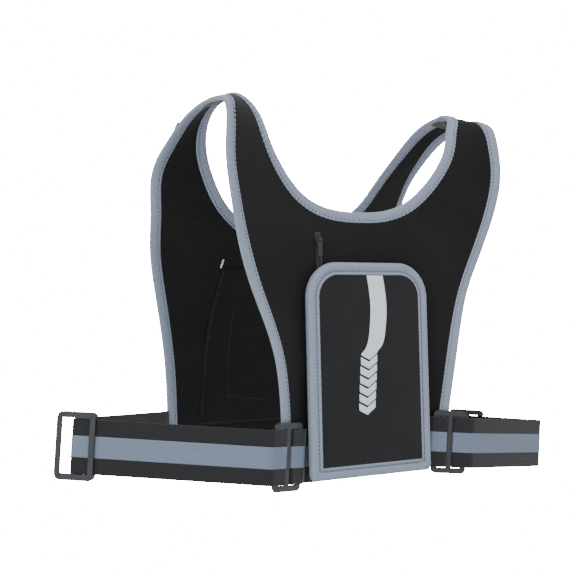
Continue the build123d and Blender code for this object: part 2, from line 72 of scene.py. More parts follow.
# share of depth, share of height, and how far the cloth moves along Y and Z per (100 mm from the middle) squared
stations = np.array([
    (0.000, -0.034, -17.0, 0.0), (0.000, 0.140, -18.0, 0.0), (0.000, 0.320, -17.0, 0.0), (0.000, 0.489, -7.0, 0.0),
    (0.010, 0.620, -8.0, 0.0), (0.050, 0.732, -13.0, 0.0), (0.068, 0.838, -14.0, 0.0), (0.113, 0.927, -17.0, 0.0),
    (0.311, 1.047, -24.6, -10.2),
    (0.409, 1.013, -12.3, -8.6), (0.432, 0.927, 2.7, -5.5), (0.482, 0.804, 11.0, 0.0), (0.541, 0.723, 11.0, 0.0),
    (0.689, 0.612, 8.0, 0.0), (0.815, 0.489, 6.0, 0.0), (0.928, 0.335, 3.0, 0.0), (0.968, 0.196, 3.0, 0.0),
    (0.991, 0.056, 3.0, 0.0), (1.000, -0.075, 3.0, 0.0),
])
sideShares = [(0.0, 0.0), (0.08, 0.15), (0.21, 0.32), (0.44, 0.46), (0.72, 0.60), (0.93, 0.74), (1.0, 0.83)]
frontNeckShares = [(0.29, 0.03), (0.48, 0.12), (0.64, 0.28), (0.75, 0.445), (0.84, 0.65), (0.905, 0.86), (0.97, 0.98)]
backNeckShares = [(0.32, 0.05), (0.52, 0.15), (0.68, 0.285), (0.80, 0.46), (0.90, 0.64), (0.97, 0.82), (1.0, 0.97)]


def distances(line):
    # how far along the line each of its points lies
    return np.r_[0, np.cumsum(np.linalg.norm(np.diff(line, axis=0), axis=1))]


def splineWeights(knots, at):
    # natural cubic spline: each row weighs the stations so that weights @ values is the curve at one place
    n, h = len(knots), np.diff(knots)
    a, r, i = np.eye(n), np.zeros((n, n)), np.arange(1, n - 1)
    a[i, i - 1], a[i, i], a[i, i + 1] = h[i - 1], 2 * (h[i - 1] + h[i]), h[i]
    r[i, i - 1], r[i, i], r[i, i + 1] = 6 / h[i - 1], -6 / h[i - 1] - 6 / h[i], 6 / h[i]
    bend = np.linalg.solve(a, r)
    k = np.clip(np.searchsorted(knots, at) - 1, 0, n - 2)
    back, ahead, w, row = knots[k + 1] - at, at - knots[k], h[k], np.arange(len(at))
    out = bend[k] * (back**3 / (6 * w) - back * w / 6)[:, None]
    out += bend[k + 1] * (ahead**3 / (6 * w) - ahead * w / 6)[:, None]
    out[row, k] += back / w
    out[row, k + 1] += ahead / w
    return out


def smoothLine(points, count):
    # a cubic spline through the points, spaced by the distance between them
    p = np.array(points, float)
    s = distances(p)
    return splineWeights(s, np.linspace(0, s[-1], count)) @ p


def evenly(line, count):
    # the same line with points at equal steps along its length; extra columns are carried with it
    s = distances(line[:, :3])
    at = np.linspace(0, s[-1], count)
    return np.stack([np.interp(at, s, line[:, k]) for k in range(line.shape[1])], 1)


place = np.stack([(stations[:, 0] - 0.5) * vest["depth"], stations[:, 1] * vest["height"]], 1)
reach = place + stations[:, 2:]
knots = distances(reach)
knots /= knots[-1]
tFine = np.linspace(0, 1, 2401)
profile = splineWeights(knots, tFine) @ np.column_stack([place[:, 0], stations[:, 2], place[:, 1], stations[:, 3]])


def clothAt(x, t):
    # the cloth's middle: the side profile at t, moved along Y and Z in proportion to x squared
    a = [np.interp(t, tFine, profile[:, k]) for k in range(4)]
    q = (x / 100.0) ** 2
    return np.stack([x, a[0] + q * a[1], a[2] + q * a[3]], -1)


def clothNormal(x, t):
    # outward normal, the cross product of the two directions along the cloth
    step = 0.004
    across = clothAt(x + 1.0, t) - clothAt(x - 1.0, t)
    along = clothAt(x, np.minimum(t + step, 1)) - clothAt(x, np.maximum(t - step, 0))
    n = np.cross(across, along)
    return n / np.linalg.norm(n, axis=-1, keepdims=True)


def tAtHeight(x, z, back):
    # the place along the profile where the cloth is at height z, on the front or the back of the crest
    x, z = np.atleast_1d(np.asarray(x, float)), np.atleast_1d(np.asarray(z, float))
    heights = profile[:, 2][None] + (x[:, None] / 100) ** 2 * profile[:, 3][None]
    top = heights.argmax(1)
    index = np.arange(len(tFine))[None]
    if back:
        k = (len(tFine) - 1) - ((heights < z[:, None]) & (index >= top[:, None])).sum(1)
        k = np.clip(k, top, len(tFine) - 2)
    else:
        k = np.clip(((heights < z[:, None]) & (index <= top[:, None])).sum(1) - 1, 0, np.maximum(top - 1, 0))
    row = np.arange(len(x))
    low, high = heights[row, k], heights[row, k + 1]
    share = np.clip((z - low) / np.where(abs(high - low) < 1e-9, 1e-9, high - low), 0, 1)
    return tFine[k] + share * (tFine[1] - tFine[0]), heights[row, top]


def onCloth(x, z, back, lift=0.0):
    t, _ = tAtHeight(x, z, back)
    x = np.atleast_1d(np.asarray(x, float))
    return clothAt(x, t) + clothNormal(x, t) * lift


def edgeLine(outline, back, count):
    # an outline drawn in the front view laid on the cloth up to the crest: columns X, Y, Z, t
    line = smoothLine(outline, 901)
    line = line[line[:, 0] >= -1e-6]
    t, top = tAtHeight(line[:, 0], line[:, 1], back)
    under = line[:, 1] < top - 0.02
    stop = int(np.argmin(under)) if not under.all() else len(under)
    line, t = line[:stop], t[:stop]
    return evenly(np.column_stack([clothAt(line[:, 0], t), t]), count)


# outlines run on above the crest, so that they always cross it
pastCrest = 60


def sideOutline(low):
    spread, rise = vest["chest"] - vest["hem"], vest["height"] - low
    points = [(vest["hem"] + spread * a, low + rise * b) for a, b in sideShares]
    return points + [(vest["chest"] - 2.5, 0.93 * vest["height"]), (vest["chest"] - 3.5, vest["height"] + pastCrest)]


def neckOutline(low, shares):
    half = [(vest["neck"] * a, low + (vest["height"] - low) * b) for a, b in shares]
    half += [(vest["neck"], vest["height"] + pastCrest)]
    return [(-x, z) for x, z in reversed(half)] + [(0.0, low)] + half


def overCrest(front, back, count):
    # one line from the front piece over the crest and down the back piece
    return evenly(np.vstack([front, back[::-1]]), count)


sideFront = edgeLine(sideOutline(vest["frontHem"]), False, 240)
sideBack = edgeLine(sideOutline(vest["backHem"]), True, 240)
neckFront = edgeLine(neckOutline(vest["frontNeck"], frontNeckShares), False, 200)
neckBack = edgeLine(neckOutline(vest["backNeck"], backNeckShares), True, 200)
print("cloth outlines laid")


def toObject(name, verts, faces, body="vest", uv=None):
    # verts are millimetres in the row frame; uv, in metres, is one pair for each vertex
    mesh = bpy.data.meshes.new(name)
    points = np.asarray(verts).reshape(-1, 3) * mm
    mesh.from_pydata(points.tolist(), [], faces if isinstance(faces, list) else faces.tolist())
    mesh.polygons.foreach_set("use_smooth", np.ones(len(mesh.polygons), bool))
    if uv is not None:
        corner = np.empty(len(mesh.loops), np.int32)
        mesh.loops.foreach_get("vertex_index", corner)
        mesh.uv_layers.new(name="UVMap").data.foreach_set("uv", np.asarray(uv)[corner].astype(np.float32).ravel())
    mesh.update()
    piece = bpy.data.objects.new(name, mesh)
    bpy.context.scene.collection.objects.link(piece)
    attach(piece, body)
    return piece


def gridFaces(rows, columns, closeRows=False, closeColumns=False):
    i, j = np.arange(rows - (not closeRows)), np.arange(columns - (not closeColumns))
    a, b = np.meshgrid(i, j, indexing="ij")
    c, d = (a + 1) % rows, (b + 1) % columns
    return np.stack([a * columns + b, a * columns + d, c * columns + d, c * columns + b], -1).reshape(-1, 4)


def solidify(piece, thickness, offset=0.0):
    m = piece.modifiers.new("thickness", "SOLIDIFY")
    m.thickness, m.offset, m.use_even_offset = thickness * mm, offset, True


def pairUp(a, b, shape):
    # texture coordinates in metres from two sets of millimetres
    return np.stack([np.broadcast_to(a, shape), np.broadcast_to(b, shape)], -1).reshape(-1, 2) * mm


def sweep(name, centre, across, out, shape, ends=True):
    # a closed outline carried along a line: each point is centre + across * b + out * n
    shape = np.asarray(shape, float)
    b, n = (shape[..., 0], shape[..., 1]) if shape.ndim == 3 else (shape[None, :, 0], shape[None, :, 1])
    verts = centre[:, None] + across[:, None] * b[..., None] + out[:, None] * n[..., None]
    rows, columns = verts.shape[:2]
    s = distances(centre)
    faces = gridFaces(rows, columns, not ends, True).tolist()
    if ends:
        faces += [list(range(columns))[::-1], [(rows - 1) * columns + k for k in range(columns)]]
    piece = toObject(name, verts, faces, uv=pairUp(s[:, None], b, (rows, columns)))
    cleanMesh(piece.data, facing="outwards")
    return piece


def cleanMesh(mesh, merge=0.0, facing=None):
    # merges vertices closer than merge; a closed shell can face outwards and an open skin forwards
    bm = bmesh.new()
    bm.from_mesh(mesh)
    if merge:
        bmesh.ops.remove_doubles(bm, verts=bm.verts, dist=merge)
    if facing:
        bmesh.ops.recalc_face_normals(bm, faces=bm.faces)
    if facing == "forwards" and sum(f.normal.y * f.calc_area() for f in bm.faces) > 0:
        bmesh.ops.reverse_faces(bm, faces=bm.faces)
    bm.to_mesh(mesh)
    bm.free()


def lineFrame(line, normal, side):
    # unit directions along the line, out of the cloth, and across it towards the side given
    along = np.gradient(line, axis=0)
    along /= np.linalg.norm(along, axis=1, keepdims=True)
    out = normal - along * (normal * along).sum(1, keepdims=True)
    out /= np.linalg.norm(out, axis=1, keepdims=True)
    return along, out, np.cross(out, along) * side


# ---- materials
def linear(code):
    # an sRGB hex colour as linear light
    c = np.array([int(code[k:k + 2], 16) / 255 for k in (1, 3, 5)])
    return (*np.where(c <= 0.04045, c / 12.92, ((c + 0.055) / 1.055) ** 2.4), 1.0)


def addNode(tree, kind, settings=(), links=()):
    # one node: settings go to its sockets or its own values, links feed its sockets
    node = tree.nodes.new(kind)
    for key, value in dict(settings).items():
        if isinstance(key, str) and hasattr(node, key):
            setattr(node, key, value)
        else:
            node.inputs[key].default_value = value
    for key, source in dict(links).items():
        tree.links.new(source, node.inputs[key])
    return node


def blankMaterial(name, colour, roughness, settings=()):
    m = bpy.data.materials.new(name)
    m.use_nodes = True
    shader = m.node_tree.nodes["Principled BSDF"]
    shader.inputs["Base Color"].default_value = linear(colour)
    shader.inputs["Roughness"].default_value = roughness
    for key, value in dict(settings).items():
        shader.inputs[key].default_value = value
    return m, m.node_tree, shader


def mottle(tree, shader, low, high, scale):
    # slow colour variation between two close shades
    where = addNode(tree, "ShaderNodeTexCoord").outputs["Object"]
    noise = addNode(tree, "ShaderNodeTexNoise", {"Scale": scale, "Detail": 5.0}, {"Vector": where})
    ramp = addNode(tree, "ShaderNodeValToRGB", links={"Fac": noise.outputs["Fac"]})
    ramp.color_ramp.elements[0].position, ramp.color_ramp.elements[1].position = 0.35, 0.7
    ramp.color_ramp.elements[0].color, ramp.color_ramp.elements[1].color = linear(low), linear(high)
    tree.links.new(ramp.outputs["Color"], shader.inputs["Base Color"])


def raiseFace(tree, shader, height, strength, distance):
    bump = addNode(tree, "ShaderNodeBump", {"Strength": strength, "Distance": distance * mm}, {"Height": height})
    tree.links.new(bump.outputs["Normal"], shader.inputs["Normal"])


def weave(tree, shader, pitch, strength, distance, coordinates="UV", across=1.0):
    # two crossed sine waves for warp and weft; pitch is the thread spacing in millimetres
    where = addNode(tree, "ShaderNodeTexCoord").outputs[coordinates]
    # a wave texture of scale 1 has twenty radians in each unit of length
    period = 2 * math.pi / (pitch * mm) / 20.0
    waves = []
    for axis, share in (("X", 1.0), ("Y", across)):
        if share:
            values = {"bands_direction": axis, "Scale": period * share, "Distortion": 0.6, "Detail": 2.0}
            waves.append(addNode(tree, "ShaderNodeTexWave", values, {"Vector": where}).outputs["Fac"])
    height = waves[0]
    if len(waves) > 1:
        height = addNode(tree, "ShaderNodeMath", {"operation": "MULTIPLY"}, {0: waves[0], 1: waves[1]}).outputs[0]
    raiseFace(tree, shader, height, strength, distance)


def grain(tree, shader, size, strength, distance):
    # fine raised grain; size is its spacing in millimetres
    where = addNode(tree, "ShaderNodeTexCoord").outputs["Object"]
    noise = addNode(tree, "ShaderNodeTexNoise", {"Scale": 1000.0 / size, "Detail": 3.0}, {"Vector": where})
    raiseFace(tree, shader, noise.outputs["Fac"], strength, distance)


materials = {}


def makeMaterials():
    # neoprene with a knitted nylon face: deep black, soft sheen, 1.1 mm knit drawn at 1.6 mm
    soft = {"Sheen Weight": 0.12, "Sheen Roughness": 0.4, "Specular IOR Level": 0.3}
    m, tree, shader = blankMaterial("neopreneKnitFace", "#101012", 0.86, soft)
    mottle(tree, shader, "#0f0f11", "#141416", 22.0)
    weave(tree, shader, 1.6, 0.35, 0.25)
    materials["neoprene"] = m
    # satin-woven polyester tape: smooth warp floats give a broad soft highlight, fine cross ribs every 1.2 mm
    m, tree, shader = blankMaterial("satinTape", "#8b97ab", 0.5, {"Sheen Weight": 0.1, "Specular IOR Level": 0.45})
    mottle(tree, shader, "#8793a7", "#93a0b4", 900.0)
    weave(tree, shader, 1.2, 0.5, 0.22, across=0.0)
    materials["tape"] = m
    # plain-weave nylon, close threads of 0.9 mm drawn wider than life
    soft = {"Sheen Weight": 0.08, "Specular IOR Level": 0.35}
    m, tree, shader = blankMaterial("plainWeaveNylon", "#111115", 0.72, soft)
    mottle(tree, shader, "#101014", "#15151a", 30.0)
    weave(tree, shader, 1.3, 0.4, 0.2, "Object")
    materials["nylon"] = m
    # ribbed polyester webbing: ribs across its width every 1.5 mm
    soft = {"Sheen Weight": 0.2, "Specular IOR Level": 0.4}
    m, tree, shader = blankMaterial("ribbedWebbing", "#15161a", 0.74, soft)
    mottle(tree, shader, "#111216", "#17181d", 700.0)
    weave(tree, shader, 1.5, 0.35, 0.3, across=0.5)
    materials["webbing"] = m
    # reflective yarns woven into the webbing: grey-blue with the same ribs
    m, tree, shader = blankMaterial("reflectiveYarn", "#77839a", 0.45, {"Specular IOR Level": 0.5})
    mottle(tree, shader, "#6b788f", "#75839a", 800.0)
    weave(tree, shader, 1.5, 0.3, 0.3, across=0.5)
    materials["yarn"] = m
    # glass-bead transfer film: pale even grey, faint sparkle of the beads
    m, tree, shader = blankMaterial("glassBeadFilm", "#e6f0fb", 0.38, {"Specular IOR Level": 0.5})
    mottle(tree, shader, "#dfeaf6", "#eef6ff", 700.0)
    grain(tree, shader, 0.6, 0.25, 0.08)
    materials["film"] = m
    # moulded acetal with a spark-eroded texture
    m, tree, shader = blankMaterial("mouldedAcetal", "#2c2f36", 0.33, {"Specular IOR Level": 0.65})
    mottle(tree, shader, "#282b32", "#31343b", 50.0)
    grain(tree, shader, 0.7, 0.25, 0.1)
    materials["acetal"] = m
    # gunmetal-plated cast zinc, polished by handling
    m, tree, shader = blankMaterial("platedZinc", "#4a4c52", 0.24, {"Metallic": 0.8})
    mottle(tree, shader, "#42444a", "#5a5c63", 300.0)
    grain(tree, shader, 0.9, 0.12, 0.05)
    materials["zinc"] = m
    # spun polyester sewing thread, twisted; coloured much darker than the tape it sews, as painted shade for the
    # shadows along the stitch holes
    m, tree, shader = blankMaterial("sewingThreadPaintedShade", "#4f5a6e", 0.6, {"Sheen Weight": 0.2})
    mottle(tree, shader, "#495468", "#566277", 400.0)
    grain(tree, shader, 0.3, 0.4, 0.1)
    materials["thread"] = m
    # the same thread dyed black
    m, tree, shader = blankMaterial("blackThread", "#2a2a2e", 0.6, {"Sheen Weight": 0.2})
    mottle(tree, shader, "#252529", "#34343a", 400.0)
    grain(tree, shader, 0.3, 0.4, 0.1)
    materials["darkThread"] = m
    # hook and loop pile: a dense matt nap
    m, tree, shader = blankMaterial("hookAndLoopPile", "#1b1b1d", 0.95, {"Sheen Weight": 0.5})
    mottle(tree, shader, "#151517", "#26262a", 900.0)
    grain(tree, shader, 0.7, 1.0, 0.8)
    materials["pile"] = m
    # clear flexible film: thin, glossy, slightly rippled
    m, tree, shader = blankMaterial("clearFilm", "#e9edf0", 0.12, {"Alpha": 0.35, "IOR": 1.5})
    grain(tree, shader, 30.0, 0.3, 0.4)
    m.surface_render_method = "BLENDED"
    materials["clear"] = m
    # knitted mesh and braided elastic, both near black
    m, tree, shader = blankMaterial("braidedElastic", "#212125", 0.7, {"Sheen Weight": 0.3})
    mottle(tree, shader, "#1c1c20", "#2b2b30", 120.0)
    weave(tree, shader, 1.4, 0.7, 0.3)
    materials["elastic"] = m


def dress(piece, key, slotName, *nodes):
    piece.data.materials.append(materials[key])
    if nodes:
        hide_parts(*nodes)
    return piece


makeMaterials()
print("materials made")


# ---- camera, light, floor
def cameraGlow(tree, unseen, seen):
    # one strength for what the camera sees directly, another for what lights the vest
    ray = addNode(tree, "ShaderNodeLightPath").outputs["Is Camera Ray"]
    return addNode(tree, "ShaderNodeMapRange", {"To Min": unseen, "To Max": seen}, {"Value": ray}).outputs["Result"]


def setStage():
    a, e, r = (math.radians(view[k]) for k in ("yaw", "pitch", "roll"))
    backward = np.array([math.sin(a) * math.cos(e), -math.cos(a) * math.cos(e), math.sin(e)])
    right = np.array([math.cos(a), math.sin(a), 0.0])
    up = np.cross(backward, right)
    right, up = right * math.cos(r) + up * math.sin(r), up * math.cos(r) - right * math.sin(r)
    camera = bpy.data.objects.new("camera", bpy.data.cameras.new("camera"))
    camera.data.lens, camera.data.sensor_width = view["lens"], 36.0
    rows = [(*row, p) for row, p in zip(np.column_stack([right, up, backward]).tolist(), view["place"])]
    camera.matrix_world = Matrix(rows + [(0, 0, 0, 1)])
    bpy.context.scene.collection.objects.link(camera)
    bpy.context.scene.camera = camera
    lamps = (("key", 1.4, (-1.9, -1.1, 1.2)), ("top", 1.2, (0.5, -0.7, 1.9)), ("rim", 1.2, (0.4, 1.5, 1.6)))
    aim = np.array([0, 0, 0.17])
    for name, size, spot in lamps:
        lamp = bpy.data.lights.new(name, "AREA")
        lamp.energy, lamp.size = light[name], size
        o = bpy.data.objects.new(name, lamp)
        z = np.array(spot) - aim
        z = z / np.linalg.norm(z)
        x = np.cross([0, 0, 1], z)
        x /= np.linalg.norm(x)
        y = np.cross(z, x)
        o.matrix_world = Matrix([(x[k], y[k], z[k], spot[k]) for k in range(3)] + [(0, 0, 0, 1)])
        bpy.context.scene.collection.objects.link(o)
    world = bpy.data.worlds.new("studio")
    world.use_nodes = True
    sky = world.node_tree.nodes["Background"]
    sky.inputs["Color"].default_value = (1, 1, 1, 1)
    glow = cameraGlow(world.node_tree, light["world"], light["backdrop"])
    world.node_tree.links.new(glow, sky.inputs["Strength"])
    bpy.context.scene.world = world
    low = cadBox[0][2] - light["floorDrop"]
    mesh = bpy.data.meshes.new("floor")
    mesh.from_pydata([(-8, -8, low), (8, -8, low), (8, 8, low), (-8, 8, low)], [], [(0, 1, 2, 3)])
    floor = bpy.data.objects.new("floor", mesh)
    bpy.context.scene.collection.objects.link(floor)
    m, tree, shader = blankMaterial("paleFloor", light["floor"], 0.9, {"Emission Color": (1, 1, 1, 1)})
    tree.links.new(cameraGlow(tree, 0.0, light["floorGlow"]), shader.inputs["Emission Strength"])
    floor.data.materials.append(m)


setStage()
print("camera, light and floor set")


# ---- panels: rulings run from the neck edge to the side edge and hem
panel = {"rulings": 280, "rows": 44, "tuck": 4.0, "hemShare": 0.36, "ripple": 0.5}


def halfPanel(side, neck, edge, low, back):
    hem = np.column_stack([np.linspace(0, edge[0, 0], 120)[:-1], np.zeros(119)])
    t, _ = tAtHeight(hem[:, 0], np.full(119, low), back)
    hemLine = np.column_stack([clothAt(hem[:, 0], t), t])
    n = panel["rulings"]
    first = int(n * panel["hemShare"])
    outer = np.vstack([evenly(hemLine, first), evenly(edge, n - first)])
    split = int(len(neck) * 0.42)
    inner = np.vstack([evenly(neck[:split + 1], first), evenly(neck[split:], n - first)])
    length = np.linalg.norm(outer[:, :3] - inner[:, :3], axis=1)
    tuck = np.clip(panel["tuck"] / length, 0, 0.3)[:, None]
    v = tuck + np.linspace(0, 1, panel["rows"])[None] * (1 - 2 * tuck)
    x = inner[:, :1] * (1 - v) + outer[:, :1] * v
    t = inner[:, 3:] * (1 - v) + outer[:, 3:] * v
    surface = clothAt(x, t)
    a, h = x * side, surface[..., 2]
    # slow folds tens of millimetres long, continuous from one half to the other
    wave = np.sin(a / 23.0 + h / 31.0) * np.sin(h / 47.0 + a / 61.0) + 0.5 * np.sin(a / 14.0 - h / 19.0)
    surface = surface + clothNormal(x, t) * (panel["ripple"] * wave * np.sin(np.pi * v))[..., None]
    surface[..., 0] *= side
    return surface.reshape(-1, 3), pairUp(a, surface[..., 2], a.shape)


def makePanel(name, neck, edge, low, back):
    right, uvRight = halfPanel(1, neck, edge, low, back)
    left, uvLeft = halfPanel(-1, neck, edge, low, back)
    faces = gridFaces(panel["rulings"], panel["rows"])
    both = np.vstack([faces if back else faces[:, ::-1], (faces[:, ::-1] if back else faces) + len(right)])
    piece = toObject(name, np.vstack([right, left]), both, uv=np.vstack([uvRight, uvLeft]))
    cleanMesh(piece.data, 0.05 * mm)
    solidify(piece, vest["cloth"])
    return piece


frontPanel = makePanel("frontPanel", neckFront, sideFront, vest["frontHem"], False)
backPanel = makePanel("backPanel", neckBack, sideBack, vest["backHem"], True)
dress(frontPanel, "neoprene", "neoprene", "front_panel")
dress(backPanel, "neoprene", "neoprene", "back_panel")
print("panels made")

# ---- bindings: a folded tape carried along each edge, its stitched row near the inner side
binding = {
    "overhang": 0.7, "half": 2.35, "stitchAt": 7.9, "stitchPitch": 3.6, "stitchLength": 2.3, "stitchWidth": 0.85,
    "gather": 0.45, "gatherPitch": 4.4, "fill": 0.4,
}


def tapeShape(s, bend):
    # a flat tube, puffed near the fold and dipped at the stitch row, with gathers that grow with the bend
    w, h, o, row = vest["tapeWidth"], binding["half"], binding["overhang"], binding["stitchAt"]
    b = np.array([w, w * 0.93, row + 0.9, row, row - 0.9, 5.2, 2.6, 0.5, -o * 0.8, -o])
    n = np.array([h * 0.62, h * 0.9, h * 0.93, h * 0.80, h * 0.95, h * 1.07, h * 1.05, h * 0.82, h * 0.42, 0.0])
    b, n = np.r_[b, b[-2::-1]], np.r_[n, -n[-2::-1]]
    wave = np.sin(2 * np.pi * s / binding["gatherPitch"] + 1.7 * np.sin(s / 21.0))
    amount = binding["gather"] * np.clip(0.25 + bend * 55.0, 0, 1.3)
    lift = (wave * amount)[:, None] * np.clip(b / w, 0.15, 1)[None] * np.sign(n)[None]
    return np.stack([np.broadcast_to(b[None], lift.shape), n[None] + lift], -1)


def scatter(local, base, along, across, out):
    # one small shape repeated at every base point, turned to the directions there
    steps = [local[None, :, k:k + 1] * d[:, None] for k, d in enumerate((along, across, out))]
    return base[:, None] + steps[0] + steps[1] + steps[2]


def repeatFaces(faces, count, size):
    # the same faces for each of count copies with size vertices each
    return (faces[None] + (np.arange(count) * size)[:, None, None]).reshape(-1, 4)


def stitchRow(name, centre, along, out, across, b, lift, key="thread", body="vest"):
    # short threads, each a six-sided spindle bowed out of the tape; the default thread colour is painted shade, darker
    # than the tape
    pitch = binding["stitchPitch"]
    s = distances(centre)
    at = np.arange(pitch / 2, s[-1] - pitch / 2, pitch)
    pick = [np.stack([np.interp(at, s, a[:, k]) for k in range(3)], 1) for a in (centre, along, out, across)]
    share = np.linspace(-1, 1, 5)
    angle = np.arange(6) * np.pi / 3
    radius = binding["stitchWidth"] / 2 * np.sqrt(np.clip(1 - share**2 * 0.85, 0, 1))
    u = (share * binding["stitchLength"] / 2)[:, None] + 0 * angle[None]
    side = radius[:, None] * np.cos(angle)[None]
    rise = radius[:, None] * np.sin(angle)[None] + 0.22 * (1 - share**2)[:, None]
    local = np.stack([u, side, rise], -1).reshape(-1, 3)
    base = pick[0] + pick[3] * b + pick[2] * lift
    verts = scatter(local, base, pick[1], pick[3], pick[2])
    faces = repeatFaces(gridFaces(5, 6, False, True), len(at), len(local))
    dress(toObject(name, verts, faces, body), key, "thread")


def bindEdge(name, line, side, node, closed=False):
    centre = line[:, :3].copy()
    normal = clothNormal(abs(centre[:, 0]), line[:, 3])
    normal[:, 0] *= np.where(centre[:, 0] < 0, -1, 1)
    along, out, across = lineFrame(centre, normal, side)
    s = distances(centre)
    bend = np.linalg.norm(np.gradient(along, axis=0), axis=1) / np.gradient(s)
    if closed:
        along[0] = along[-1] = (along[0] + along[-1]) / np.linalg.norm(along[0] + along[-1])
        centre, along, out, across, s, bend = centre[:-1], along[:-1], out[:-1], across[:-1], s[:-1], bend[:-1]
    tape = sweep(name, centre, across, out, tapeShape(s, bend), ends=not closed)
    dress(tape, "tape", "binding_tape", node)
    h = binding["half"]
    stitchRow(name + "Stitches", centre, along, out, across, binding["stitchAt"], h * 0.82)
    stitchRow(name + "InnerStitches", centre, along, -out, across, binding["stitchAt"], h * 0.82)


rightSide = overCrest(sideFront, sideBack, 620)
leftSide = rightSide.copy()
leftSide[:, 0] *= -1
neckHalf = overCrest(neckFront, neckBack, 420)
neckOther = neckHalf.copy()[::-1]
neckOther[:, 0] *= -1
neckLoop = evenly(np.vstack([neckHalf, neckOther[1:]]), 840)
bindEdge("rightArmholeTape", rightSide, 1, "right_armhole_binding")
bindEdge("leftArmholeTape", leftSide, -1, "left_armhole_binding")
bindEdge("neckTape", neckLoop, -1, "neck_binding", closed=True)
for label, low, back, node in (
    ("frontHemTape", vest["frontHem"], False, "front_hem_binding"),
    ("backHemTape", vest["backHem"], True, "back_hem_binding"),
):
    x = np.linspace(-1, 1, 200) * (vest["hem"] - 6.0)
    t, _ = tAtHeight(x, np.full(200, low + 0.6), back)
    bindEdge(label, np.column_stack([clothAt(x, t), t]), 1 if not back else -1, node)
print("bindings sewn")


# ---- phone pocket: x across, h up its own face, d forwards of its back plane
pocket = {
    "width": 141.0, "height": 204.0, "corner": 34.0, "foot": 6.0, "tape": 12.0, "depth": 9.6, "rim": 8.0,
    "lean": 3.6, "backY": -129.4, "hingeY": -113.0, "hingeZ": 3.6, "hingeHalf": 42.0, "mouth": 30.0, "margin": 20.0,
    "dome": 1.5, "pucker": 0.22, "groove": 8.6, "stripe": 19.0, "stripeTop": 191.5, "markFoot": 102.0,
    "chevronPitch": 8.7, "chevron": 7.0, "chevrons": 6, "skin": 1.0, "markThick": 0.2, "markLift": 0.18, "filmLap": 5,
}
# the binding's section from its outer edge inwards: across the tape, and forwards of the pocket's back plane
pocketSection = [
    (0.7, 2.0), (0.05, 3.6), (0.0, 5.6), (0.5, 7.6), (2.2, 9.1), (4.6, 9.6), (6.8, 9.1), (8.3, 8.2), (8.9, 8.0),
    (9.6, 8.5), (10.9, 9.2), (11.9, 8.9), (12.2, 7.8), (12.2, 3.0),
]
# the stripe's middle line, from its top end down to the chevrons
stripeLine = [(6.0, 191.5), (9.0, 162.0), (7.0, 138.0), (0.5, 120.0), (-3.6, 116.4)]


def pocketPoint(x, h, d):
    a = math.radians(pocket["lean"])
    return np.stack([x, pocket["backY"] - d * math.cos(a) + h * math.sin(a), h * math.cos(a) + d * math.sin(a)], -1)


def roundedOutline(half, low, high, topRadius, footRadius):
    # four arcs joined by straights, anticlockwise from the lower right, evenly divided on each stretch
    count = 40
    corners = [(half, low, footRadius, -90), (half, high, topRadius, 0)]
    corners += [(-half, high, topRadius, 90), (-half, low, footRadius, 180)]
    arcs = []
    for x, h, r, start in corners:
        a = np.radians(start + np.linspace(0, 90, count // 2))
        middle = x - math.copysign(r, x), h + (r if h == low else -r)
        arcs.append(np.stack([middle[0] + r * np.cos(a), middle[1] + r * np.sin(a)], 1))
    line = []
    for k, arc in enumerate(arcs):
        nextArc = arcs[(k + 1) % 4]
        share = np.linspace(0, 1, count + 2)[1:-1, None]
        line += [arc, arc[-1] * (1 - share) + nextArc[0] * share]
    return np.vstack(line)


def pocketOutline(inset):
    half, r = pocket["width"] / 2 - inset, max(pocket["foot"] - inset, 1.0)
    return roundedOutline(half, inset, pocket["height"] - inset, pocket["corner"] - inset, r)


def domeAt(x, h):
    # the front skin stands forwards most at its middle, with slow soft waves
    w, tall = pocket["width"] / 2 - pocket["tape"], pocket["height"] / 2 - pocket["tape"]
    r = np.maximum(abs(x) / w, abs(h - pocket["height"] / 2) / tall)
    waves = np.sin(x / 13 + h / 29) * np.sin(h / 19 - x / 37) * np.clip(1 - r, 0, 1)
    return pocket["depth"] - 0.9 + pocket["dome"] * (1 - np.clip(r, 0, 1) ** 2.2) + 0.5 * waves


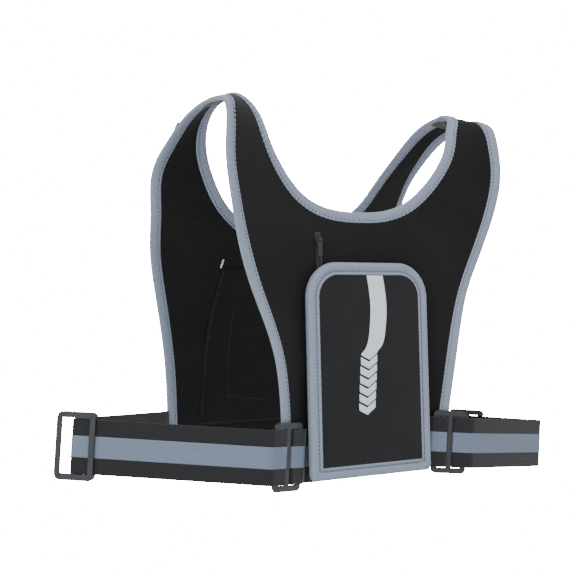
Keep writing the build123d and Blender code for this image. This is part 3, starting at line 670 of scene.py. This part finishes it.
def makePocket():
    outer, inner = pocketOutline(0), pocketOutline(pocket["tape"])
    shape = np.vstack([smoothLine(pocketSection, 34), [(11.0, 1.7), (6.0, 1.6), (1.6, 1.65)]])
    share = shape[:, 0] / pocket["tape"]
    rim = outer[:, None] * (1 - share[None, :, None]) + inner[:, None] * share[None, :, None]
    s = distances(outer)
    puff = pocket["pucker"] * np.sin(2 * np.pi * s / 9.0 + 2 * np.sin(s / 33.0))
    depth = shape[None, :, 1] + puff[:, None] * np.clip((shape[None, :, 1] - 6) / 3, 0, 1)
    verts = pocketPoint(rim[..., 0], rim[..., 1], depth)
    uv = pairUp(s[:, None], shape[None, :, 0], depth.shape)
    tape = toObject("pocketTape", verts, gridFaces(*depth.shape, True, True), "pocket", uv)
    cleanMesh(tape.data, facing="outwards")
    dress(tape, "tape", "binding_tape", "pocket_binding")
    groove = pocketOutline(pocket["groove"])
    centre = pocketPoint(groove[:, 0], groove[:, 1], np.full(len(groove), pocket["rim"]))
    out = np.broadcast_to(pocketPoint(0.0, 0.0, 1.0) - pocketPoint(0.0, 0.0, 0.0), centre.shape)
    along, out, across = lineFrame(centre, out, 1)
    stitchRow("pocketTapeStitches", centre, along, out, across, 0.0, 0.25, body="pocket")
    r = np.linspace(1, 0, 46)[:, None]
    # the skin's edge is caught 1.5 mm under the binding
    edge = pocketOutline(pocket["tape"] - 1.5)
    x, h = edge[None, :, 0] * r, pocket["height"] / 2 + (edge[None, :, 1] - pocket["height"] / 2) * r
    front = toObject("pocketFront", pocketPoint(x, h, domeAt(x, h)), gridFaces(*x.shape, False, True), "pocket")
    cleanMesh(front.data, 0.02 * mm, "forwards")
    solidify(front, pocket["skin"], -1.0)
    dress(front, "nylon", "pocket_fabric", "pocket_front")


def decal(name, x, h, faces, node):
    # a film laid on the domed front skin
    piece = toObject(name, pocketPoint(x, h, domeAt(x, h) + pocket["markLift"]), faces, "pocket")
    cleanMesh(piece.data, facing="forwards")
    solidify(piece, pocket["markThick"])
    dress(piece, "film", "reflective_film", node)


def makeMarks():
    half, top, foot, pitch = pocket["stripe"] / 2, pocket["stripeTop"], pocket["markFoot"], pocket["chevronPitch"]
    middle = smoothLine(stripeLine, 90)
    w = np.linspace(-1, 1, 17)[None]
    # the chevrons' right arms rise more than their left ones
    rise = np.where(w > 0, 6.8, 4.6) * abs(w)
    share = np.linspace(0, 1, 90)[:, None]
    low = foot + pitch + rise
    h = top + (low - top) * share
    x = np.interp(top + (115.0 - top) * share, middle[::-1, 1], middle[::-1, 0]) + w * half
    decal("reflectiveStripe", x, h, gridFaces(*x.shape), "reflective_stripe")
    k = np.arange(pocket["chevrons"])[:, None, None]
    v = np.linspace(0, 1, 5)[None, :, None]
    x = -4.2 - 0.6 * k + w[None] * half + 0 * v
    h = foot - pitch * k + rise[None] + v * pocket["chevron"]
    decal("reflectiveChevrons", x, h, repeatFaces(gridFaces(5, 17), pocket["chevrons"], 5 * 17), "reflective_chevrons")


def makePocketBack():
    top = pocket["height"] - pocket["tape"] - pocket["mouth"]
    half = pocket["width"] / 2
    edge = roundedOutline(half - 6, 6.0, top, 2.0, 2.0)
    inset = pocket["tape"] + pocket["margin"]
    hole = roundedOutline(half - inset, inset, top - pocket["margin"], 6.0, 6.0)
    share = np.linspace(0, 1, 10)[:, None, None]
    ring = edge[None] * (1 - share) + hole[None] * share
    flat = pocketPoint(ring[..., 0], ring[..., 1], pocket["skin"] + 0 * ring[..., 0])
    skin = toObject("pocketBack", flat, gridFaces(*ring.shape[:2], False, True), "pocket")
    cleanMesh(skin.data, facing="forwards")
    solidify(skin, pocket["skin"])
    dress(skin, "nylon", "pocket_fabric", "pocket_back")
    lap = pocket["filmLap"]
    film = roundedOutline(half - inset + lap, inset - lap, top - pocket["margin"] + lap, 11.0, 11.0)
    r = np.linspace(1, 0, 30)[:, None]
    centreH = (inset + top - pocket["margin"]) / 2
    x, h = film[None, :, 0] * r, centreH + (film[None, :, 1] - centreH) * r
    d = 1.85 + 0.15 * np.sin(x / 9 + h / 15)
    window = toObject("pocketWindow", pocketPoint(x, h, d), gridFaces(*x.shape, False, True), "pocket")
    cleanMesh(window.data, 0.02 * mm, "forwards")
    solidify(window, 0.3)
    dress(window, "clear", "clear_film", "pocket_window")
    u, v = np.meshgrid(np.linspace(-1, 1, 60), np.linspace(0, 1, 24))
    y = pocket["hingeY"] + 0.6 + v * (pocket["backY"] - pocket["depth"] + pocket["rim"] - pocket["hingeY"] - 0.6)
    z = pocket["hingeZ"] - 0.5 - 0.5 * np.sin(np.pi * v)
    x = u * pocket["hingeHalf"]
    uv = pairUp(x, v * 18.0, u.shape)
    strap = toObject("pocketHingeTape", np.stack([x, y, z], -1), gridFaces(*u.shape), "pocket", uv)
    solidify(strap, 0.9)
    dress(strap, "elastic", "black_tape", "pocket_hinge_tape")


def power(value, share):
    return np.sign(value) * abs(value) ** share


def slab(name, low, high, body, key, slotName, node):
    # a soft block: a superellipse section in each direction, its face uneven with nap
    wave = 0.25
    turns, tilts = np.linspace(-np.pi, np.pi, 96, endpoint=False), np.linspace(-np.pi / 2, np.pi / 2, 48)
    u, v = np.meshgrid(turns, tilts, indexing="ij")
    wide = power(np.cos(v), 0.25)
    p = np.stack([wide * power(np.cos(u), 0.25), power(np.sin(v), 0.3), wide * power(np.sin(u), 0.25)], -1)
    centre, half = (np.array(low) + np.array(high)) / 2, (np.array(high) - np.array(low)) / 2
    p = p * (half - wave) + centre + wave * np.sin(p * half * 2.1) * np.array([0, 1, 0])
    piece = toObject(name, p, gridFaces(*u.shape, True, False), body)
    cleanMesh(piece.data, 0.02 * mm, "outwards")
    dress(piece, key, slotName, node)


makePocket()
makeMarks()
makePocketBack()
for name, node, body in (("loopPatch", "loop_patch", "vest"), ("hookPatch", "hook_patch", "pocket")):
    low, high = (np.array(c) * 1000 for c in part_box(node))
    slab(name, low, high, body, "pile", "hook_and_loop", node)
print("pocket made")

# ---- webbing: the same runs as the solids, in each belt's tilted plane
webbing = {
    "width": 50.0, "thick": 1.4, "stripe": 20.0, "clear": 0.4, "bar": 5.5, "barThick": 2.4, "slot": 10.2,
    "ringX": 95.5, "standoff": 5.8, "lean": 16.5, "stitchInset": 4.0, "beltStripeExtra": 0.36, "tabStripeExtra": 0.2,
    "height": 25.5, "sewn": 32.0, "leftFold": (-256.0, -25.0), "rightFold": (243.0, -113.0), "rightRun": 76.0,
    "leftTilt": (-0.0735, -0.0425), "rightTilt": (-0.093, -0.050), "step": 1.6,
}
wrapGap = webbing["barThick"] / 2 + webbing["clear"] + webbing["thick"] / 2
slotEdge = webbing["bar"] / 2 + webbing["clear"] + webbing["thick"] / 2
outerBar = webbing["bar"] + webbing["slot"]


def unit(v):
    return v / np.linalg.norm(v)


def beltPlane(side):
    x = webbing["ringX"] * side
    y = onCloth(x, webbing["height"], False, vest["cloth"] / 2 + webbing["standoff"])[0, 1]
    tilt = webbing["rightTilt"] if side > 0 else webbing["leftTilt"]
    ex, ez = unit(np.array([1, 0, tilt[0]])), unit(np.array([-tilt[0], -tilt[1], 1]))
    return np.array([x, y, webbing["height"]]), ex, np.cross(ez, ex), ez


def ringPoint(side, along, lift):
    a = math.radians(webbing["lean"])
    return np.array([side * (along * math.cos(a) - lift * math.sin(a)), -along * math.sin(a) - lift * math.cos(a)])


def roundedRun(points, radii):
    # straight runs joined by arcs of the given radii, then spaced evenly
    points = [np.array(p, float) for p in points]
    line = [points[0][None]]
    for a, p, b, r in zip(points, points[1:], points[2:], radii):
        u, v = unit(a - p), unit(b - p)
        half = math.acos(np.clip(u @ v, -1, 1)) / 2
        reach = r / math.tan(half)
        centre = p + unit(u + v) * r / math.sin(half)
        start, stop = p + u * reach - centre, p + v * reach - centre
        angle = math.atan2(start[1], start[0])
        turn = (math.atan2(stop[1], stop[0]) - angle + math.pi) % (2 * math.pi) - math.pi
        k = angle + turn * np.linspace(0, 1, 9)
        line.append(centre + r * np.stack([np.cos(k), np.sin(k)], 1))
    line.append(points[-1][None])
    line = np.vstack(line)
    length = np.linalg.norm(np.diff(line, axis=0), axis=1).sum()
    dense = []
    for a, b in zip(line, line[1:]):
        share = np.linspace(0, 1, max(int(np.linalg.norm(b - a) / 0.4), 1), endpoint=False)
        dense.append(a + (b - a) * share[:, None])
    dense = np.vstack(dense + [line[-1:]])
    return dense[:: max(int(len(dense) * webbing["step"] / length * 0.35), 1)]


def beltRun(side):
    origin = beltPlane(side)[0][:2]
    out = outerBar + webbing["bar"] / 2
    stops = ((out + 3.0, -wrapGap), (slotEdge, -wrapGap), (slotEdge, wrapGap), (out + 5.5, wrapGap))
    points = [ringPoint(side, *stop) for stop in stops]
    edge = vest["hem"] - 2.0
    lift = vest["cloth"] / 2 + vest["tape"] + webbing["thick"] / 2
    turn = onCloth(edge, webbing["height"] / 2, True, lift)[0, :2] * (side, 1) - origin
    end = onCloth(edge - webbing["sewn"], webbing["height"] / 2, True, lift)[0, :2] * (side, 1) - origin
    fold = np.array(webbing["rightFold" if side > 0 else "leftFold"]) - origin
    run = unit(fold - points[-1])
    inward = np.array([-run[1], run[0]]) * side
    if side < 0:
        points += [fold + run * slotEdge - inward * wrapGap, fold + run * slotEdge + inward * wrapGap]
        radii = [1.6, 1.6, 6.0, 1.8, 1.8, 12.0]
    else:
        aim = np.array([0.62 * webbing["rightFold"][0], webbing["rightFold"][1] + 52.0]) - origin
        axis = unit(aim - fold)
        points += [fold, fold + inward * 8.0, fold + inward * 8.0 + axis * (webbing["rightRun"] + 28.0)]
        radii = [1.6, 1.6, 12.0, 3.7, 3.7, 20.0, 12.0]
    return roundedRun(points + [turn, end], radii)


def tabRun(side):
    origin = beltPlane(side)[0][:2]
    back = outerBar + webbing["bar"] / 2 + webbing["clear"] + webbing["thick"] / 2
    lap = webbing["thick"] + 0.15
    x = np.array([webbing["ringX"] - back - 22.0, webbing["ringX"] - back - 6.0])
    face = onCloth(x, np.full(2, webbing["height"]), False, vest["cloth"] / 2 + webbing["thick"] / 2 + 0.35)[:, 1]
    low = [np.array([side * x[k], face[k]]) - origin for k in (0, 1)]
    high = [np.array([side * x[k], face[k] - lap]) - origin for k in (0, 1)]
    stops = ((-back + 4.0, -wrapGap), (-slotEdge, -wrapGap), (-slotEdge, wrapGap), (-back, wrapGap))
    loop = [ringPoint(side, *stop) for stop in stops]
    return roundedRun(low + loop + [high[1], high[0]], [4.0, 2.0, 1.6, 1.6, 1.6, 1.2])


def bandShape(width, thick):
    # flat band with rounded selvedges a little thicker than its middle
    b = np.r_[-1, -0.985, -0.95, -0.9, np.linspace(-0.85, 0.85, 9), 0.9, 0.95, 0.985, 1] * width / 2
    n = np.r_[0, 0.8, 1.0, 0.9, np.full(9, 0.94), 0.9, 1.0, 0.8, 0] * thick / 2
    return np.stack([np.r_[b, b[-2:0:-1]], np.r_[n, -n[-2:0:-1]]], 1)


def ribbon(name, run, plane, width, thick, key, slotName, *nodes):
    # a band carried along a run drawn in the plane of its ring
    origin, ex, ey, ez = plane
    centre = origin + run[:, :1] * ex + run[:, 1:] * ey
    upright = np.broadcast_to(ez, centre.shape)
    along, _, _ = lineFrame(centre, upright, 1)
    out = np.cross(along, upright)
    dress(sweep(name, centre, upright, out, bandShape(width, thick)), key, slotName, *nodes)
    return centre, along, out, upright


wide, thick, stripe = webbing["width"], webbing["thick"], webbing["stripe"]
for label, side in (("left", -1), ("right", 1)):
    plane, belt, tab = beltPlane(side), beltRun(side), tabRun(side)
    yarn = "yarn", "webbing_stripe"
    lines = ribbon(label + "Belt", belt, plane, wide, thick, "webbing", "webbing", label + "_belt")
    ribbon(label + "BeltStripe", belt, plane, stripe, thick + webbing["beltStripeExtra"], *yarn, label + "_belt_stripe")
    ribbon(label + "Tab", tab, plane, wide, thick, "webbing", "webbing", label + "_front_tab")
    ribbon(label + "TabStripe", tab, plane, stripe, thick + webbing["tabStripeExtra"], *yarn)
    # the last stretch of the belt is sewn to the back
    sewn = [line[-14:] for line in lines]
    for k, edge in enumerate((-1, 1)):
        height = edge * (wide / 2 - webbing["stitchInset"])
        stitchRow(f"{label}BeltEndStitches{k}", *sewn, height, -0.78 * side, key="darkThread")
print("webbing made")
hardware = {
    "acetal": ("left_front_ring", "right_front_ring", "left_adjuster", "right_adjuster"),
    "zinc": ("zip_slider", "zip_pull", "zip_stops"),
}
for key, node in [(key, node) for key, group in hardware.items() for node in group]:
    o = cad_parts[node]
    for spot in o.material_slots:
        spot.material = materials[key]
    if not o.material_slots:
        o.data.materials.append(materials[key])

# ---- zip, pouches and small sewn pieces
trim = {
    "zipTop": (-51.0, 232.0), "zipBottom": (-47.0, 122.0), "toothPitch": 1.3, "bagWidth": 84.0,
    "innerWidth": 120.0, "innerBase": 22.0, "innerHeight": 176.0, "innerTack": (-62.4, 203.3),
    "loopLength": 17.0, "loopRise": 7.0, "loopWidth": 8.0, "loopX": -148.0, "shoulderMiddle": 141.0,
}
# one lip of the zip tape: across from the zip's middle, and out of the cloth
zipLip = np.array([(3.3, 0.0), (3.1, 0.5), (2.2, 0.85), (1.3, 0.7), (0.95, 0.2), (1.0, -0.6), (3.2, -0.6)])
# seams of the inner back pocket: left side, right side, foot, then two inner rows
pocketSeams = [
    ((-58.0, 196.0), (-58.0, 24.5)), ((58.0, 196.0), (58.0, 24.5)), ((-58.0, 24.5), (58.0, 24.5)),
    ((-34.0, 156.0), (-28.0, 55.0)), ((-31.0, 55.0), (40.0, 45.0)),
]


def clothSheet(name, xs, zs, back, lift, columns=60, rows=80):
    # a patch of the cloth's own surface, lifted by lift(u, v), with u and v from 0 to 1
    u, v = np.meshgrid(np.linspace(0, 1, columns), np.linspace(0, 1, rows))
    x, z = xs[0] + (xs[1] - xs[0]) * u, zs[0] + (zs[1] - zs[0]) * v
    t, _ = tAtHeight(x.ravel(), z.ravel(), back)
    p = clothAt(x.ravel(), t) + clothNormal(x.ravel(), t) * lift(u, v).reshape(-1, 1)
    return toObject(name, p, gridFaces(rows, columns), uv=pairUp(x, z, x.shape))


def makeZip():
    count = 200
    x, z = (np.linspace(trim["zipTop"][k], trim["zipBottom"][k], count) for k in (0, 1))
    t, _ = tAtHeight(x, z, False)
    line, normal = clothAt(x, t), clothNormal(x, t)
    along, out, across = lineFrame(line, normal, 1)
    for k, side in enumerate((-1, 1)):
        lip = sweep(f"zipLip{k}", line + out * 1.5, across, out, zipLip * (side, 1))
        dress(lip, "elastic", "black_tape")
    s = distances(line)
    at = np.arange(3, s[-1] - 3, trim["toothPitch"] / 2)
    pick = [np.stack([np.interp(at, s, a[:, k]) for k in range(3)], 1) for a in (line, along, out, across)]
    sideShift = np.where(np.arange(len(at)) % 2, 0.38, -0.38)[:, None]
    a, b = np.meshgrid(np.arange(8) * np.pi / 4, np.linspace(-np.pi / 2, np.pi / 2, 5), indexing="ij")
    tooth = np.stack([0.42 * np.cos(b) * np.cos(a), 0.75 * np.sin(b), 0.5 * np.cos(b) * np.sin(a)], -1).reshape(-1, 3)
    base = pick[0] + pick[3] * sideShift + pick[2] * 1.55
    verts = scatter(tooth, base, pick[1], pick[3], pick[2])
    teeth = toObject("zipCoil", verts, repeatFaces(gridFaces(8, 5, True, False), len(at), len(tooth)))
    cleanMesh(teeth.data, facing="outwards")
    dress(teeth, "acetal", "zip_coil", "zip_coil")
    tapes = clothSheet("zipTapes", (-62.0, -38.0), (119.0, 235.0), False, lambda u, v: -2.1 + 0 * u, 40, 60)
    solidify(tapes, 0.5)
    dress(tapes, "elastic", "black_tape", "zip_tapes")


def rise(edge):
    # how far a pouch stands off at a share of its width from its sewn edge
    return np.clip(edge / 0.07, 0, 1) ** 0.6


def bulge(low, high, openTop):
    return lambda u, v: low + (high - low) * rise(u) * rise(1 - u) * rise(v) * (1 if openTop else rise(1 - v))


def makePouches():
    middle = (trim["zipTop"][0] + trim["zipBottom"][0]) / 2 + 8
    wide = (middle - trim["bagWidth"] / 2, middle + trim["bagWidth"] / 2)
    bag = clothSheet("keyPocketBag", wide, (116.0, 236.0), False, bulge(-1.8, -5.9, False))
    solidify(bag, 0.5)
    dress(bag, "nylon", "mesh", "key_pocket_bag")
    half = trim["innerWidth"] / 2
    tall = (trim["innerBase"], trim["innerBase"] + trim["innerHeight"])
    inner = clothSheet("innerBackPocket", (-half, half), tall, True, bulge(-1.9, -2.9, True), 80, 110)
    solidify(inner, 0.9)
    dress(inner, "neoprene", "pocket_fabric", "inner_back_pocket")
    for k, (a, b) in enumerate(pocketSeams):
        x, z = np.linspace(a[0], b[0], 120), np.linspace(a[1], b[1], 120)
        t, _ = tAtHeight(x, z, True)
        along, out, across = lineFrame(clothAt(x, t), -clothNormal(x, t), 1)
        lift = 3.05 if k > 2 else 2.55
        stitchRow(f"innerPocketStitches{k}", clothAt(x, t), along, out, across, 0.0, lift, key="darkThread")


def bartack(name, place, along, out, across, length, width, key):
    # a dense row of long threads across a short line
    rows = 9
    at = np.linspace(-width / 2, width / 2, rows)
    share, angle = np.linspace(-1, 1, 7), np.arange(6) * np.pi / 3
    u = (share * length / 2)[None, :, None] + 0 * at[:, None, None] + 0 * angle
    r = 0.34 * np.sqrt(np.clip(1 - share**4, 0.05, 1))[None, :, None]
    v = at[:, None, None] + r * np.cos(angle)
    w = r * np.sin(angle) + 0.3 * (1 - share**2)[None, :, None]
    p = place + u[..., None] * along + v[..., None] * across + w[..., None] * out
    return dress(toObject(name, p, repeatFaces(gridFaces(7, 6, False, True), rows, 7 * 6)), key, "thread")


def makeSmallPieces():
    x0 = trim["loopX"]
    low, high = (np.array(c) * 1000 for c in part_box("cable_loop"))
    ts = np.linspace(0.3, 0.75, 900)
    near = clothAt(np.full(900, x0), ts)
    t0 = ts[np.linalg.norm(near - (low + high) / 2, axis=1).argmin()]
    xs = np.array([x0])
    place, out = clothAt(xs, np.array([t0]))[0], clothNormal(xs, np.array([t0]))[0]
    along = unit((clothAt(xs, np.array([t0 + 0.004])) - clothAt(xs, np.array([t0 - 0.004])))[0])
    out = unit(np.array([0, -along[2], along[1]]))
    out = out if out[2] > 0 else -out
    half, top = trim["loopLength"] / 2, trim["loopRise"]
    foot = [(-half - 3, 3.3), (-half, 3.3), (-half * 0.86, 5.6), (-half * 0.6, top + 2.0)]
    arch = smoothLine(foot + [(0, top + 2.9)] + [(-x, z) for x, z in foot[::-1]], 90)
    line = place + arch[:, :1] * along + arch[:, 1:] * out
    direction, _, _ = lineFrame(line, np.broadcast_to(out, line.shape), 1)
    wide = np.broadcast_to(np.array([1.0, 0, 0]), line.shape)
    loop = sweep("cableLoop", line, wide, np.cross(direction, wide), bandShape(trim["loopWidth"], 1.3))
    dress(loop, "elastic", "elastic", "cable_loop")
    for k, side in enumerate((-1, 1)):
        spot = place + along * side * (half + 1.9) + out * 4.0
        tack = bartack(f"cableLoopTack{k}", spot, np.array([1.0, 0, 0]), out, along, 6.2, 1.7, "darkThread")
        if k == 0:
            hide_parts("cable_loop_tacks")
    x, t = np.array([trim["innerTack"][0]]), tAtHeight(*trim["innerTack"], True)[0]
    point, normal = clothAt(x, t)[0], clothNormal(x, t)[0]
    up = unit((clothAt(x, t - 0.004) - clothAt(x, t))[0])
    bartack("innerPocketTack", point - normal * 2.0, up, -normal, np.cross(up, normal), 11.0, 1.6, "film")
    for label, side in (("left", -1), ("right", 1)):
        u, v = np.meshgrid(np.linspace(vest["neck"] + 3.0, vest["chest"] - 6.0, 30), np.linspace(-1, 1, 30))
        low, high = (np.array(c) * 1000 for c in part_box(label + "_shoulder_tape"))
        tt = np.linspace(0.3, 0.6, 700)
        line = clothAt(np.full(700, trim["shoulderMiddle"]), tt)
        inside = tt[(line[:, 1] > low[1]) & (line[:, 1] < high[1])]
        t = inside.min() + (inside.max() - inside.min()) * (v + 1) / 2
        p = clothAt(u.ravel(), t.ravel()) - clothNormal(u.ravel(), t.ravel()) * 2.75
        p[:, 0] *= side
        tape = toObject(label + "ShoulderTape", p, gridFaces(30, 30), uv=pairUp(u, v * 8, u.shape))
        solidify(tape, 0.7)
        dress(tape, "elastic", "black_tape", label + "_shoulder_tape")


makeZip()
makePouches()
makeSmallPieces()
print("zip, pouches and small pieces made")
